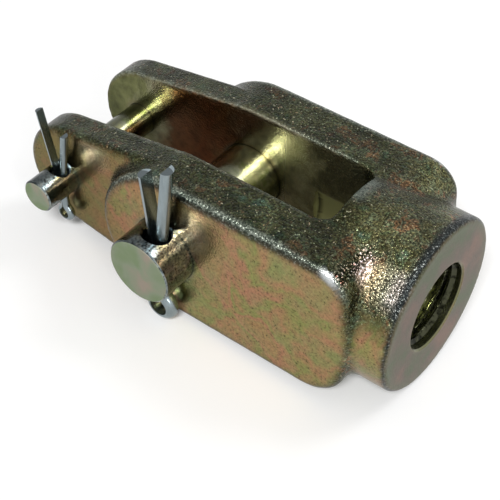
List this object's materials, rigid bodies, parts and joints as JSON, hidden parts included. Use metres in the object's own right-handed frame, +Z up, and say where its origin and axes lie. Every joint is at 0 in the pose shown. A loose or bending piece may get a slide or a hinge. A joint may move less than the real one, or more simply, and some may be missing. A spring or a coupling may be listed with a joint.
{
  "type": "clevis rod end",
  "caption": "Forged clevis rod end with a threaded hub, a slotted fork, and a large and a small cross pin held by split cotter pins.",
  "frame": {"origin": "centre of the threaded hole's mouth, on the hub's end face", "axes": "+X out of the hub along the rod, +Y towards the pins' heads, +Z up, the cotters' legs pointing up"},
  "size_m": [0.0796, 0.0452, 0.0376],
  "materials": {
    "forging": "rough forged and coined steel, yellow zinc plated",
    "pins": "smooth turned steel, yellow zinc plated",
    "cotters": "clear zinc plated half-round wire"
  },
  "bodies": {
    "clevis": {"clevis_body": "forging"},
    "large_pin_set": {"large_pin": "pins", "large_cotter": "cotters"},
    "small_pin_set": {"small_pin": "pins", "small_cotter": "cotters"}
  },
  "joints": [
    {"name": "large_pin_turn", "type": "hinge", "parent": "clevis", "child": "large_pin_set", "pos_m": [-0.044, 0, 0], "axis": [0, 1, 0], "continuous": true},
    {"name": "small_pin_turn", "type": "hinge", "parent": "clevis", "child": "small_pin_set", "pos_m": [-0.0706, 0, 0], "axis": [0, 1, 0], "range_deg": [-229, 62]}
  ]
}
